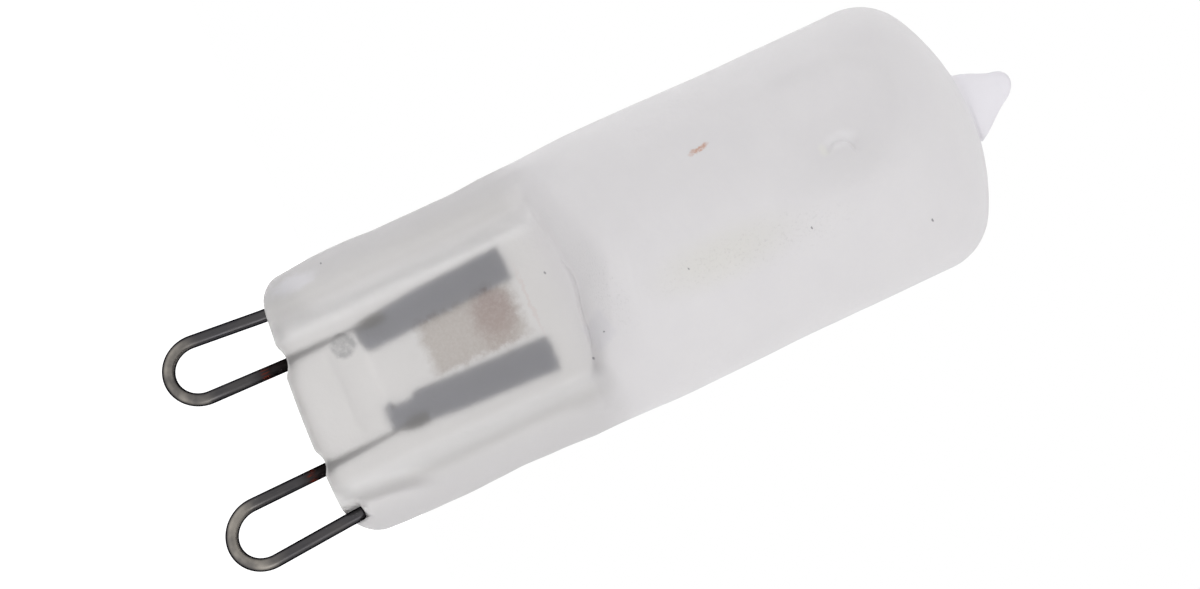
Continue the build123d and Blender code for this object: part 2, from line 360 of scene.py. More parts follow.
def outer_leg(side, reach, z):
    """Where a wire's outer leg is at a height: it leans in a little towards its end."""
    leg_start = BEND_RADIUS * math.sin(TOE_IN) - (reach - WIRE_RADIUS - BEND_RADIUS)
    out = BEND_RADIUS * (1 + math.cos(TOE_IN)) - math.tan(TOE_IN) * (z - leg_start)
    return LEGS[side] + side * out * math.cos(LOOP_TURN), -side * out * math.sin(LOOP_TURN)


# Room beside the wire, the width of the groove's lip and of its end, and how high both open out
GROOVE_ROOM, GROOVE_LIP, GROOVE_END, GROOVE_OPEN = WIRE_RADIUS + 0.05, 0.2, 0.22, 2.2
GROOVE_REACH, GROOVE_BEHIND, GROOVE_PAST, GROOVE_SOFT = 0.62, 0.6, 0.3, 0.12


def grooved(x, y, z):
    """Pushes a point of the side out of a wire's way, down to under the wire."""
    for _, side, reach, free_end in LOOPS:
        axis_x, axis_y = outer_leg(side, reach, z)
        facing = -side
        off = abs(x - axis_x)
        if (off < GROOVE_REACH and z < free_end + GROOVE_PAST
                and y * facing > axis_y * facing - GROOVE_BEHIND):
            under = math.sqrt(GROOVE_ROOM ** 2 - min(off, GROOVE_ROOM) ** 2)
            opening = (ease(off, GROOVE_ROOM, GROOVE_ROOM + GROOVE_LIP)
                       + ease(z, free_end + 0.02, free_end + 0.02 + GROOVE_END))
            floor = axis_y * facing - under + GROOVE_OPEN * opening
            y = facing * soft_least(y * facing, floor, GROOVE_SOFT)
    return y


RIDGE = [(0.9, 5.75), (2.2, 5.95), (4.2, 6.35)]
RIDGE_RISE, RIDGE_WIDTH = 0.28, 0.3
VALLEY_DEPTH, VALLEY_WIDTH, VALLEY_BESIDE = 0.34, 0.36, 0.66


def ridge(x, z):
    """The ridge past the right wire's end, with a valley on its inner side."""
    fade = ease(z, 0.5, 1.1) * (1 - ease(z, 3.6, 5.4))
    if not fade:
        return 0.0
    off = x - through(RIDGE, z)
    return fade * (RIDGE_RISE * hump(off, RIDGE_WIDTH)
                   - VALLEY_DEPTH * hump(off + VALLEY_BESIDE, VALLEY_WIDTH))


print("outer legs at:", [[round(v, 2) for v in outer_leg(loop[1], loop[2], 0)] for loop in LOOPS])

# %% [markdown]
# Hand-made glass is never quite true. A slow waviness of a few hundredths of a millimetre is
# enough for the light to play on it, and it is stronger in the seal, which was pressed.
# The waves may only take glass away, so the whole skin is drawn in by a few hundredths first.

# %% Shape one point of the glass
PRESS_SOFT, SHOULDER_SOFT = 0.22, 1.1
SKIN_IN, WAVE_MOST = 0.06, 0.05


def waviness(point):
    """A slow, small unevenness of the surface, in millimetres."""
    slow = noise.noise(Vector(point) * 0.28 + Vector((3.1, 0.7, 9.4)))
    quick = noise.noise(Vector(point) * 0.8)
    pressed = 1 - ease(point[2], 12, 19)
    return (0.03 + 0.05 * pressed) * slow + (0.01 + 0.02 * pressed) * quick


def shaped(x, y, z):
    """The finished place of a ring's point."""
    facing = -1 if y < 0 else 1
    depth = abs(y)
    if z < SHOULDER_END:
        corner = ease(abs(x), 3.8, 5.4) * ease(z, 12.0, 14.4)
        softness = PRESS_SOFT + SHOULDER_SOFT * max(ease(z, 15.0, 16.0), corner)
        depth = soft_least(depth, pressed_depth(x, z), softness)
    if facing < 0:
        depth -= dent(x, z) * ease(depth, 2.0, 5.0)
        if x > 0:
            depth += ridge(x, z) * ease(depth, 0.4, 1.2)
    y = grooved(x, facing * depth, z)
    around = Vector((x, y, 0))
    drawn_in = (SKIN_IN - min(WAVE_MOST, waviness((x, y, z)))) * ease(around.length, 0.0, 2.0)
    around *= 1 - drawn_in / max(around.length, 0.001)
    return around.x, around.y, z


print("a point in the dent:", [round(v, 2) for v in shaped(0, -7.3, 31)])

# %% [markdown]
# One circle is extruded again and again, and each new ring is put in its place. The last one is
# closed with a face that is poked into a fan, and the doubled points at the end's middle merge.

# %% Extrude the rings
MERGE_BELOW = 0.003


def grow_envelope():
    """The glass as one closed mesh, in millimetres."""
    bm = bmesh.new()
    bmesh.ops.create_circle(bm, segments=RING, radius=1.0)
    loop, edges = list(bm.verts), list(bm.edges)

    def place(points):
        for vert, point in zip(loop, points):
            vert.co = point

    def advance():
        nonlocal loop, edges
        made = bmesh.ops.extrude_edge_only(bm, edges=edges)["geom"]
        fresh = {g for g in made if isinstance(g, bmesh.types.BMVert)}
        above = []
        for vert in loop:
            above.append(next(e.other_vert(vert) for e in vert.link_edges
                              if e.other_vert(vert) in fresh))
        loop = above
        count = len(loop)
        edges = [bm.edges.get((loop[i], loop[(i + 1) % count])) for i in range(count)]

    for number, (level, inset) in enumerate(end_stations + [(level, 0.0) for level in levels]):
        if number:
            advance()
        place([shaped(x, y, station_height(level, x)) for x, y in section_ring(level, inset)])
    round_ring = section_ring(DOME_START)
    for radius, height in dome_profile():
        advance()
        scale = radius / CAPSULE_RADIUS
        above = max(0.0, height - GLASS_TOP)
        shift = (TIP_SHIFT * ease(height, GLASS_TOP - TIP_ROOT, GLASS_TOP)
                 - math.tan(TIP_LEAN) * above)
        place([Vector(shaped(x * scale, y * scale, height)) + Vector((shift, 0, 0))
               for x, y in round_ring])
    top = bmesh.ops.contextual_create(bm, geom=edges)["faces"]
    bmesh.ops.poke(bm, faces=top)
    bmesh.ops.remove_doubles(bm, verts=list(bm.verts), dist=MERGE_BELOW)
    bmesh.ops.recalc_face_normals(bm, faces=list(bm.faces))
    return bm


envelope_mesh = grow_envelope()
print("glass faces:", len(envelope_mesh.faces), "open edges:",
      sum(not e.is_manifold for e in envelope_mesh.edges))

# %% [markdown]
# The punched ring is finer than the rings of points, so only the faces round it are divided
# again. Then its groove is pushed into the new points.

# %% Punch the ring
PATCH_RADIUS, STAMP_RADIUS = 1.25, 1.2


def near_punch(vert, radius):
    """Whether a point of the front lies within a radius of the punch."""
    return vert.co.y < 0 and math.hypot(vert.co.x - PUNCH_X, vert.co.z - PUNCH_Z) < radius


def stamp_punch(bm):
    """Divides the patch round the punch and pushes in its groove."""
    near = [e for e in bm.edges if all(near_punch(v, PATCH_RADIUS) for v in e.verts)]
    bmesh.ops.subdivide_edges(bm, edges=near, cuts=3, use_grid_fill=True, smooth=0.0)
    for vert in bm.verts:
        if near_punch(vert, STAMP_RADIUS):
            vert.co.y += punch(vert.co.x, vert.co.z)


stamp_punch(envelope_mesh)
print("glass faces with the punch:", len(envelope_mesh.faces))

# %% [markdown]
# Every finished mesh becomes an object in the same way: scaled to metres, shaded smooth, left at
# the origin, tied to the CAD body and given its material, and the CAD node it replaces is hidden.

# %% Finish a piece
def finish_piece(bm, name, node, material):
    """Makes an object of a mesh in millimetres, in place of a CAD node."""
    bmesh.ops.scale(bm, vec=(MM, MM, MM), verts=list(bm.verts))
    for face in bm.faces:
        face.smooth = True
    mesh = bpy.data.meshes.new(name)
    bm.to_mesh(mesh)
    bm.free()
    piece = bpy.data.objects.new(name, mesh)
    bpy.context.scene.collection.objects.link(piece)
    mesh.materials.append(material)
    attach(piece, "root")
    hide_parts(node)
    print(name, "faces:", len(mesh.polygons))
    return piece


# %% [markdown]
# A shader is a chain of small nodes, so one function adds any node with its settings and links.

# %% Add a node
def add_node(tree, kind, settings=None, **inputs):
    """Adds a node. Settings are its own values, and inputs are numbers, colours or links.

    An input is called by its name, or by its number after a line, such as _0 for the first.
    """
    node = tree.nodes.new(kind)
    for key, value in (settings or {}).items():
        setattr(node, key, value)
    for key, value in inputs.items():
        name = key.replace("_", " ")
        socket = node.inputs[int(key[1:])] if key[1:].isdigit() else node.inputs[name]
        if isinstance(value, bpy.types.NodeSocket):
            tree.links.new(value, socket)
        else:
            socket.default_value = value
    return node


def new_material(name):
    """A material with an empty tree, a Principled shader and the piece's own coordinates."""
    material = bpy.data.materials.new(name)
    material.use_nodes = True
    tree = material.node_tree
    tree.nodes.clear()
    shader = add_node(tree, "ShaderNodeBsdfPrincipled")
    add_node(tree, "ShaderNodeOutputMaterial", Surface=shader.outputs["BSDF"])
    place = add_node(tree, "ShaderNodeTexCoord").outputs["Object"]
    return material, tree, shader, place


def per_mm(size):
    """A texture's scale for a pattern whose features are so many millimetres across."""
    return 1 / (size * MM)


def spot(tree, place, x, z, across, along, turn=0.0, soft=0.3, square=False):
    """1 inside an oval or a square patch seen from the front, and 0 outside, with a soft edge."""
    moved = add_node(tree, "ShaderNodeMapping", {"vector_type": "TEXTURE"}, Vector=place,
                     Location=(x * MM, 0, z * MM), Rotation=(0, turn, 0),
                     Scale=(across * MM / 2, 1, along * MM / 2))
    if square:
        sides = add_node(tree, "ShaderNodeSeparateXYZ", Vector=add_node(
            tree, "ShaderNodeVectorMath", {"operation": "ABSOLUTE"},
            _0=moved.outputs["Vector"]).outputs["Vector"])
        far = add_node(tree, "ShaderNodeMath", {"operation": "SMOOTH_MAX"}, _0=sides.outputs["X"],
                       _1=sides.outputs["Z"], _2=0.3).outputs[0]
    else:
        flat = add_node(tree, "ShaderNodeVectorMath", {"operation": "MULTIPLY"},
                        _0=moved.outputs["Vector"], _1=(1, 0, 1))
        far = add_node(tree, "ShaderNodeVectorMath", {"operation": "LENGTH"},
                       _0=flat.outputs["Vector"]).outputs["Value"]
    return ranged(tree, far, 1 - soft, 1 + soft, 1.0, 0.0)


def ranged(tree, value, low, high, start=0.0, end=1.0):
    """A value from low to high, moved smoothly to the range from start to end."""
    return add_node(tree, "ShaderNodeMapRange", {"interpolation_type": "SMOOTHSTEP"}, Value=value,
                    From_Min=low, From_Max=high, To_Min=start, To_Max=end).outputs["Result"]


def cloudy(tree, place, size, detail=3.0, roughness=0.55):
    """A soft random pattern whose features are so many millimetres across."""
    return add_node(tree, "ShaderNodeTexNoise", Vector=place, Scale=per_mm(size), Detail=detail,
                    Roughness=roughness).outputs["Fac"]


def mixed(tree, factor, a, b):
    """Two colours mixed by a factor."""
    return add_node(tree, "ShaderNodeMix", {"data_type": "RGBA"}, _0=factor, _6=a,
                    _7=b).outputs[2]


def product(tree, a, b):
    """Two values multiplied."""
    return add_node(tree, "ShaderNodeMath", {"operation": "MULTIPLY"}, _0=a, _1=b).outputs[0]


print("a 0.1 mm grain has the texture scale", per_mm(0.1))

# %% [markdown]
# Frosted quartz glass: fused silica, drawn as a tube and etched with acid. The etched skin
# scatters light, so the bulb looks milky, but what lies just under it still shows softly. Most of
# the light goes through, so the shader is mostly rough glass with some white scatter.
# Between the foils the glass has a pinkish-brown bloom, and it carries a few dark specks, a row
# of fine pits and a rust-coloured scratch.

# %% Frosted quartz
quartz, tree, shader, place = new_material("frosted_quartz_etched")
axes = add_node(tree, "ShaderNodeSeparateXYZ", Vector=place).outputs
front = add_node(tree, "ShaderNodeMath", {"operation": "LESS_THAN"}, _0=axes["Y"],
                 _1=0.0).outputs[0]
off_middle = add_node(tree, "ShaderNodeMath", {"operation": "ABSOLUTE"}, _0=axes["X"]).outputs[0]
# The thick sides of the seal and the tube look milkier than the thin web
lobes = ranged(tree, off_middle, 3.9 * MM, 5.1 * MM)
tube = ranged(tree, axes["Z"], 13.4 * MM, 16.0 * MM)
milk = add_node(tree, "ShaderNodeMath", {"operation": "MAXIMUM"}, _0=tube,
                _1=product(tree, lobes, 0.75)).outputs[0]
push = add_node(tree, "ShaderNodeTexNoise", Vector=place, Scale=per_mm(0.5),
                Detail=4.0, Roughness=0.65).outputs["Color"]
push = add_node(tree, "ShaderNodeVectorMath", {"operation": "SUBTRACT"}, _0=push,
                _1=(0.5, 0.5, 0.5)).outputs["Vector"]


def ragged(amount):
    """The piece's coordinates, pushed about by up to so many millimetres, for ragged edges."""
    return add_node(tree, "ShaderNodeVectorMath", {"operation": "MULTIPLY_ADD"}, _0=push,
                    _1=(amount * MM, 0, amount * MM), _2=place).outputs["Vector"]


ragged_place, bubble_place, fine_place = ragged(0.9), ragged(0.4), ragged(0.25)
# Etched grain is a few hundredths of a millimetre across, and is drawn coarser here to show
grit = cloudy(tree, place, 0.16, 4.0, 0.65)
cloud = cloudy(tree, place, 2.5)
# The seal is greyer than the tube, and the walls beside its web are painted lighter: a painted
# highlight where they face the light
crests = ranged(tree, off_middle, 5.2 * MM, 6.6 * MM)
seal_colour = mixed(tree, cloud, linear("#D3D1D0"), linear("#D9D7D6"))
seal_colour = mixed(tree, crests, seal_colour, linear("#D4D2D3"))
WEB_MIDDLE = 0.35
off_web = add_node(tree, "ShaderNodeMath", {"operation": "SUBTRACT"}, _0=axes["X"],
                   _1=WEB_MIDDLE * MM).outputs[0]
off_web = add_node(tree, "ShaderNodeMath", {"operation": "ABSOLUTE"}, _0=off_web).outputs[0]
painted_wall_highlight = product(tree, ranged(tree, off_web, 3.6 * MM, 4.4 * MM),
                ranged(tree, off_web, 4.5 * MM, 5.4 * MM, 1.0, 0.0))
painted_wall_highlight = product(tree, painted_wall_highlight, ranged(tree, axes["X"], -1.0 * MM, 1.0 * MM, 0.95, 0.65))
seal_colour = mixed(tree, painted_wall_highlight, seal_colour, linear("#F0EFEF"))
colour = mixed(tree, tube, seal_colour, mixed(tree, cloud, linear("#E2E0E2"), linear("#E8E6E7")))
# The tube's colour is painted whiter where it is seen at a slant: a painted sheen along its
# outline
edge = add_node(tree, "ShaderNodeLayerWeight", Blend=0.3).outputs["Facing"]
painted_slant_sheen = product(tree, product(tree, ranged(tree, edge, 0.1, 0.9), tube), 0.35)
colour = mixed(tree, painted_slant_sheen, colour, linear("#F8F7F8"))


def stain(mask, strength, hex_colour):
    """Stains the front of the glass with a colour inside a mask."""
    return mixed(tree, product(tree, product(tree, mask, strength), front), colour,
                 linear(hex_colour))


# The bloom between the foils: a square patch, two darker clouds in it and a faint streak above
colour = stain(spot(tree, ragged_place, -0.12, 9.75, 2.95, 5.2, soft=0.16, square=True),
               ranged(tree, grit, 0.25, 0.7, 0.78, 0.95), "#A39A93")
colour = stain(spot(tree, ragged_place, -0.5, 11.1, 2.3, 2.1, soft=0.5),
               ranged(tree, grit, 0.3, 0.65, 0.65, 0.95), "#85716C")
colour = stain(spot(tree, ragged_place, 0.4, 10.9, 2.0, 1.8, soft=0.5),
               ranged(tree, grit, 0.3, 0.65, 0.2, 0.6), "#8F7D76")
colour = stain(spot(tree, ragged_place, -0.2, 13.0, 3.2, 0.22, soft=0.5), 0.35, "#C9B4B0")
# A bubble beside the left foil's end, a bluish patch at the crease, a yellowish one on the tube,
# and painted light beside the left wire, where the glass over its groove is thin
colour = stain(spot(tree, bubble_place, -2.15, 3.4, 1.3, 1.25, soft=0.25),
               ranged(tree, cloudy(tree, place, 0.45, 3.0), 0.35, 0.62, 0.5, 0.9), "#8F8F90")
colour = stain(spot(tree, bubble_place, 2.95, 15.6, 1.7, 1.3, math.radians(-12), 0.2, True), 0.15,
               "#C4C3D2")
colour = stain(spot(tree, place, 2.6, 22.8, 2.0, 6.0, soft=0.8), 0.25, "#DAD9C4")
colour = stain(spot(tree, ragged_place, -6.1, 2.4, 0.9, 2.2, soft=0.6), 0.6, "#EFEEF4")
# Dark specks, each with its size, and the rust-coloured scratch
SPECKS = [(-1.15, 14.3, 0.17), (-6.5, 4.1, 0.13), (2.5, 20.9, 0.1), (3.2, 27.3, 0.12),
          (5.2, 33.0, 0.13), (3.9, 14.75, 0.16), (3.2, 15.8, 0.1)]
for x, z, size in SPECKS:
    colour = stain(spot(tree, fine_place, x, z, size, size * 0.8, soft=0.5), 0.85, "#6E6C72")
colour = stain(spot(tree, bubble_place, -2.75, 23.9, 0.26, 0.95, math.radians(-8), 0.5),
               ranged(tree, grit, 0.3, 0.6, 0.3, 1.0), "#C99A84")
# Painted light on the punched ring, and the tip painted whiter: partly its own lilac tint, partly
# painted light where the dome gets less from the lamps
colour = stain(spot(tree, place, -0.3, 30.5, 0.8, 1.5, soft=0.5), 0.4, "#F5F4F6")
colour = stain(spot(tree, bubble_place, -0.15, 29.5, 0.6, 0.4, soft=0.6), 0.45, "#EFEFE6")
tip_tint_and_light = ranged(tree, axes["Z"], 36.9 * MM, 37.8 * MM)
colour = mixed(tree, tip_tint_and_light, colour, linear("#F5F3F8"))
# Fine pits, in a row along the tube and in a band past the crease
pit_band = spot(tree, ragged_place, 2.9, 24.2, 2.0, 9.4, math.radians(3), 0.5)
crease_band = spot(tree, ragged_place, 1.2, 16.7, 5.0, 1.5, math.radians(-10), 0.5)
bands = add_node(tree, "ShaderNodeMath", {"operation": "MAXIMUM"}, _0=pit_band,
                 _1=crease_band).outputs[0]
pits = ranged(tree, cloudy(tree, place, 0.13, 3.0, 0.6), 0.55, 0.7)
pit_mask = product(tree, product(tree, pits, bands), front)
colour = mixed(tree, product(tree, pit_mask, 0.14), colour, linear("#8E8C90"))
tree.links.new(colour, shader.inputs["Base Color"])
tree.links.new(ranged(tree, grit, 0.3, 0.7, 0.5, 0.62), shader.inputs["Roughness"])
tree.links.new(ranged(tree, milk, 0.0, 1.0, 0.78, 0.3), shader.inputs["Transmission Weight"])
# Three reliefs: the etched grain, a soft peel under it, and the pits
skin = add_node(tree, "ShaderNodeBump", Strength=0.25, Distance=0.02 * MM, Height=grit)
peel = add_node(tree, "ShaderNodeBump", Strength=0.3, Distance=0.05 * MM,
                Height=cloudy(tree, place, 0.55, 2.0), Normal=skin.outputs["Normal"])
dimples = add_node(tree, "ShaderNodeBump", {"invert": True}, Strength=0.4, Distance=0.04 * MM,
                   Height=pit_mask, Normal=peel.outputs["Normal"])
tree.links.new(dimples.outputs["Normal"], shader.inputs["Normal"])
shader.inputs["IOR"].default_value = 1.46

finish_piece(envelope_mesh, "quartz_envelope", "glass_envelope", quartz)

# %% [markdown]
# A contact is one wire. A curve with a round bevel would do, but a real wire has a cut end, a
# drawn-down lead in the glass and a hammered weld end, so a ring is extruded along it: down the
# lead, down the inner leg, spun round the bend, and up the outer leg.

# %% Shape a contact loop
# The lead is drawn down, and is thinnest where it was hammered flat
LEAD_OFFSET, LEAD_RADIUS, NECK_RADIUS = -0.16, 0.21, 0.08
WIRE_SEGMENTS, LEG_RINGS, BEND_STEPS = 40, 30, 48
# By side, how far each loop leans outward
LEG_LEANS = {-1: math.radians(2.2), 1: math.radians(1.0)}
# Height, half-width and half-depth of the hammered weld end
WELD_STATIONS = [(5.8, 0.26, 0.03), (5.74, 0.31, 0.055), (5.3, 0.33, 0.075), (4.8, 0.3, 0.08),
                 (4.5, 0.18, 0.1), (4.2, 0.08, 0.08)]


def wire_stations(side, drop):
    """Height, half-width and half-depth of the wire, from its weld end down to its bend."""
    leg_top = end_curve(LEGS[side]) + 0.45
    stations = list(WELD_STATIONS)
    for height in spread(4.0, leg_top + 0.2, 0.2):
        thick = NECK_RADIUS + (LEAD_RADIUS - NECK_RADIUS) * (1 - ease(height, 1.4, 3.4))
        stations.append((height, thick * (1 + 0.1 * math.sin(5 * height + side)), thick))
    for share in (0.0, 0.25, 0.5, 0.75):
        thick = LEAD_RADIUS + (WIRE_RADIUS - LEAD_RADIUS) * ease(share, 0, 1)
        stations.append((leg_top + 0.15 - 0.3 * share, thick, thick))
    straight = spread(leg_top - 0.15, -drop, 0.2) + [-drop]
    return stations + [(height, WIRE_RADIUS, WIRE_RADIUS) for height in straight]


def extrude_ring(bm, ring_edges):
    """Extrudes the last ring and gives the new points, each with the one it came from."""
    made = bmesh.ops.extrude_edge_only(bm, edges=ring_edges)["geom"]
    fresh = [g for g in made if isinstance(g, bmesh.types.BMVert)]
    behind = {v for e in ring_edges for v in e.verts}
    pairs = [(v, next(e.other_vert(v) for e in v.link_edges if e.other_vert(v) in behind))
             for v in fresh]
    edges = [g for g in made if isinstance(g, bmesh.types.BMEdge)
             and all(v not in behind for v in g.verts)]
    return pairs, edges


def contact_loop(side, reach, free_end):
    """One wire: made in a plane with its inner leg upright, then turned to its place."""
    drop = reach - WIRE_RADIUS - BEND_RADIUS
    bm = bmesh.new()
    ring = bmesh.ops.create_circle(bm, segments=WIRE_SEGMENTS, radius=1.0)["verts"]
    edges = list(bm.edges)
    shape = {v: v.co.copy() for v in ring}
    weld_rim = list(edges)
    for number, (height, wide, deep) in enumerate(wire_stations(side, drop)):
        if number:
            pairs, edges = extrude_ring(bm, edges)
            shape = {v: shape[before] for v, before in pairs}
        for vert, round_place in shape.items():
            vert.co = Vector((round_place.x * wide, round_place.y * deep, height))
    bmesh.ops.contextual_create(bm, geom=weld_rim)
    turned = bmesh.ops.spin(bm, geom=list(shape) + edges, cent=(BEND_RADIUS, 0, -drop),
                            axis=(0, -1, 0), dvec=(0, 0, 0), angle=math.pi + TOE_IN,
                            steps=BEND_STEPS)["geom_last"]
    rim = [g for g in turned if isinstance(g, bmesh.types.BMEdge)]
    leg = (free_end + drop - BEND_RADIUS * math.sin(TOE_IN)) / math.cos(TOE_IN)
    along = Vector((-math.sin(TOE_IN), 0, math.cos(TOE_IN)))
    for _ in range(LEG_RINGS):
        pairs, rim = extrude_ring(bm, rim)
        bmesh.ops.translate(bm, verts=[v for v, _ in pairs], vec=along * (leg / LEG_RINGS))
    bmesh.ops.contextual_create(bm, geom=rim)
    bmesh.ops.bevel(bm, geom=rim, offset=0.05, affect="EDGES", segments=3, profile=0.5,
                    material=-1)
    half_turn = 0.0 if side > 0 else math.pi
    for vert in bm.verts:
        # The lead and its weld end lie square to the seal, and only the loop is turned out of it
        own_axis = math.hypot(vert.co.x, vert.co.y) < 1 and vert.co.z > -1
        turned_out = 1 - ease(vert.co.z, -0.4, 0.4) if own_axis else 1.0
        place = Matrix.Rotation(half_turn - LOOP_TURN * turned_out, 3, "Z") @ vert.co
        place.x += LEGS[side]
        if own_axis:
            place.x += LEAD_OFFSET * ease(vert.co.z, 0.4, 0.8)
        place.x += side * math.tan(LEG_LEANS[side]) * max(0.0, -vert.co.z)
        vert.co = place
    bmesh.ops.recalc_face_normals(bm, faces=list(bm.faces))
    return bm


print("stations of the left wire:", len(wire_stations(-1, 4.0)))

# %% [markdown]
# The wire is nickel-plated, drawn through a die and darkened by years of heat. It is a metal, so
# its colour is its reflection: dark, with a painted paler, browner sheen on the bends and painted
# darker rims, and a scorched patch where it meets the hot glass.

# %% Tarnished nickel wire
nickel, tree, shader, place = new_material("tarnished_nickel_wire")
# The marks of the die run along the wire. Real ones are finer than the 0.1 mm that shows here
drawn = add_node(tree, "ShaderNodeMapping", Vector=place, Scale=(1, 1, 0.12))
streaks = cloudy(tree, drawn.outputs["Vector"], 0.1, 4.0, 0.6)
patches = cloudy(tree, place, 1.6, 3.0, 0.6)
axes = add_node(tree, "ShaderNodeSeparateXYZ", Vector=place).outputs
bends = ranged(tree, axes["Z"], -5.4 * MM, -3.4 * MM, 1.0, 0.0)
# Paler, browner colour on the bends: a painted sheen
painted_bend_sheen = product(tree, bends, ranged(tree, patches, 0.3, 0.7, 0.15, 0.7))
colour = mixed(tree, patches, linear("#3C3C41"), linear("#5E5B58"))
colour = mixed(tree, product(tree, streaks, 0.6), colour, linear("#2B2B31"))
colour = mixed(tree, painted_bend_sheen, colour, linear("#A7A198"))
# Each wire is painted darker towards its outline, which leaves a painted highlight along its
# middle
rim = add_node(tree, "ShaderNodeLayerWeight", Blend=0.5).outputs["Facing"]
colour = mixed(tree, ranged(tree, rim, 0.12, 0.55), colour, linear("#202024"))
scorch = ranged(tree, axes["Z"], -1.9 * MM, -0.6 * MM)
inner = add_node(tree, "ShaderNodeMath", {"operation": "ABSOLUTE"}, _0=axes["X"]).outputs[0]
inner = add_node(tree, "ShaderNodeMath", {"operation": "LESS_THAN"}, _0=inner,
                 _1=4.2 * MM).outputs[0]
scorch = product(tree, product(tree, scorch, inner), ranged(tree, patches, 0.2, 0.5, 0.6, 1.0))
colour = mixed(tree, product(tree, scorch, 0.85), colour, linear("#17100F"))
rust = product(tree, product(tree, ranged(tree, axes["Z"], -1.3 * MM, -1.0 * MM),
                             ranged(tree, axes["Z"], -0.9 * MM, -0.6 * MM, 1.0, 0.0)), inner)
colour = mixed(tree, product(tree, rust, ranged(tree, streaks, 0.45, 0.6)), colour,
               linear("#5E2A20"))
tree.links.new(colour, shader.inputs["Base Color"])
shader.inputs["Metallic"].default_value = 1.0
shader.inputs["Specular Tint"].default_value = linear("#6A6A70")
tree.links.new(ranged(tree, patches, 0.3, 0.7, 0.26, 0.42), shader.inputs["Roughness"])
drawn_bump = add_node(tree, "ShaderNodeBump", Strength=0.25, Distance=0.01 * MM, Height=streaks)
tree.links.new(drawn_bump.outputs["Normal"], shader.inputs["Normal"])

for word, side, reach, free_end in LOOPS:
    finish_piece(contact_loop(side, reach, free_end), "wire_loop_" + word,
                 "contact_loop_" + word, nickel)

# %% [markdown]
# The foils seal the bulb: quartz hardly grows when it is hot, and a wire would crack it, but a
# foil of molybdenum a few hundredths of a millimetre thick gives way. It was cut from a strip, so
# its ends are a little ragged, and it lies slightly crinkled in the glass.
# Molybdenum is rolled to foil between steel rolls. That leaves fine marks along it and a dull,
# bluish-grey sheen, so it is a fairly rough metal with stretched streaks.

# %% Sealing foils
FOIL_THICKNESS, FOIL_FACE, FOIL_LEAN = 0.03, 0.08, math.radians(2.3)
EDGE_ROUGH, END_RAGGED, CRINKLE = 0.035, 0.13, 0.012
# Each foil's side, middle, low end and high end
FOILS = [("left", -1, -2.58, 4.05, 12.62), ("right", 1, 2.4, 3.85, 13.05)]
# The half-width of a foil's two edges at heights above its low end: the right one has a notch
FOIL_INNER = {-1: [(0.0, 0.7), (0.5, 0.94), (1.6, 0.93), (20.0, 1.0)],
              1: [(0.0, 0.86), (0.35, 0.9), (0.75, 0.64), (1.35, 0.66), (1.9, 0.97), (2.6, 0.95),
                  (20.0, 1.0)]}
FOIL_OUTER = [(0.0, 0.62), (0.9, 0.68), (2.0, 0.82), (4.0, 0.92), (20.0, 1.02)]


def foil_strip(side, middle, start, end):
    """One foil: a fine grid, cut narrower at its weld end, crinkled and thickened."""
    bm = bmesh.new()
    bmesh.ops.create_grid(bm, x_segments=14, y_segments=90, size=0.5)
    for vert in bm.verts:
        across, up = vert.co.x * 2 * side, (vert.co.y + 0.5) * (end - start)
        edge = on_line(FOIL_OUTER, up) if across > 0 else on_line(FOIL_INNER[side], up)
        edge += EDGE_ROUGH * noise.noise(Vector((up * 2.6, side * 4.0, across)))
        uneven = END_RAGGED * noise.noise(Vector((across * 1.9, side * 7.0, up * 0.2)))
        crinkle = CRINKLE * noise.noise(Vector((across, up * 0.9, side)))
        lean = math.tan(FOIL_LEAN) * (up - (end - start) / 2)
        # 1 at both ends and next to 0 between them
        at_end = abs(2 * up / (end - start) - 1) ** 8
        vert.co = Vector((middle + side * (across * edge + lean), FOIL_FACE + crinkle,
                          start + up + uneven * at_end))
    bmesh.ops.recalc_face_normals(bm, faces=list(bm.faces))
    bmesh.ops.solidify(bm, geom=list(bm.faces), thickness=FOIL_THICKNESS)
    low = min(v.co.y for v in bm.verts)
    bmesh.ops.translate(bm, verts=list(bm.verts), vec=(0, FOIL_FACE - low, 0))
    bmesh.ops.recalc_face_normals(bm, faces=list(bm.faces))
    return bm


molybdenum, tree, shader, place = new_material("rolled_molybdenum_foil")
# The marks of the rolls, too, are drawn coarser than real ones to show
rolled = add_node(tree, "ShaderNodeMapping", Vector=place, Scale=(1, 1, 0.2))
roll_marks = cloudy(tree, rolled.outputs["Vector"], 0.18, 3.0, 0.6)
colour = mixed(tree, roll_marks, linear("#6D7180"), linear("#7E818D"))
tree.links.new(colour, shader.inputs["Base Color"])
shader.inputs["Metallic"].default_value = 1.0
shader.inputs["Roughness"].default_value = 0.5
foil_bump = add_node(tree, "ShaderNodeBump", Strength=0.3, Distance=0.01 * MM, Height=roll_marks)
tree.links.new(foil_bump.outputs["Normal"], shader.inputs["Normal"])

for word, side, middle, start, end in FOILS:
    finish_piece(foil_strip(side, middle, start, end), "seal_foil_" + word, "foil_" + word,
                 molybdenum)

# %% [markdown]
# The photograph shows nothing but the bulb on white. The world is plain white where the camera,
# a reflection or the glass sees it, and a little greyer as a light. A sheet of white paper lies
# far below, so that no shadow falls on it.
# A lamp low at the right gives the forms their soft shade. A weaker one behind at the left
# lightens their other side, and a faint one stands over the dome.

